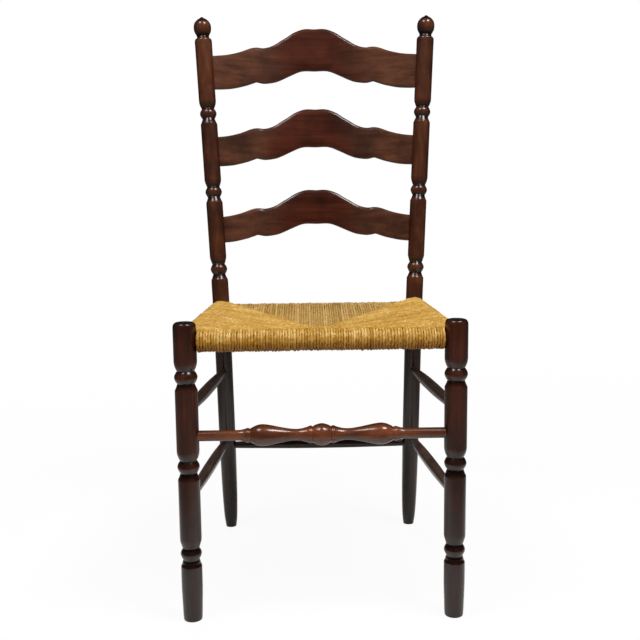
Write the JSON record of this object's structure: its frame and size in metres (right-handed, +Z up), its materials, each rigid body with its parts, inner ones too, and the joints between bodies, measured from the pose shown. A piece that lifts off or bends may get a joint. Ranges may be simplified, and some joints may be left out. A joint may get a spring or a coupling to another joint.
{
  "type": "ladderback chair",
  "caption": "Ladderback side chair with turned legs and posts, bowed scalloped slats, a turned front stretcher and a woven rush seat.",
  "frame": {"origin": "on the floor, under the middle of the chair's bounding box", "axes": "+Z up, the front of the chair faces -Y, +X to the right as seen from the front"},
  "size_m": [0.4482, 0.4939, 0.9653],
  "materials": {
    "leg_wood": "satin",
    "post_wood": "satin",
    "slat_wood": "satin",
    "front_stretcher_wood": "gloss",
    "stretcher_wood": "satin",
    "rail_wood": "matte",
    "peg_wood": "satin",
    "rush": "matte",
    "packing": "matte"
  },
  "bodies": {
    "root": {"front_leg_right": "leg_wood", "front_leg_left": "leg_wood", "back_post_right": "post_wood", "back_post_left": "post_wood", "top_slat": "slat_wood", "middle_slat": "slat_wood", "bottom_slat": "slat_wood", "slat_pegs": "peg_wood", "front_stretcher": "front_stretcher_wood", "back_stretcher": "stretcher_wood", "side_stretcher_upper_right": "stretcher_wood", "side_stretcher_upper_left": "stretcher_wood", "side_stretcher_lower_right": "stretcher_wood", "side_stretcher_lower_left": "stretcher_wood", "seat_rail_front": "rail_wood", "seat_rail_right": "rail_wood", "seat_rail_back": "rail_wood", "seat_rail_left": "rail_wood", "seat_packing_front": "packing", "seat_packing_right": "packing", "seat_packing_back": "packing", "seat_packing_left": "packing", "rush_seat": "rush"}
  },
  "joints": []
}
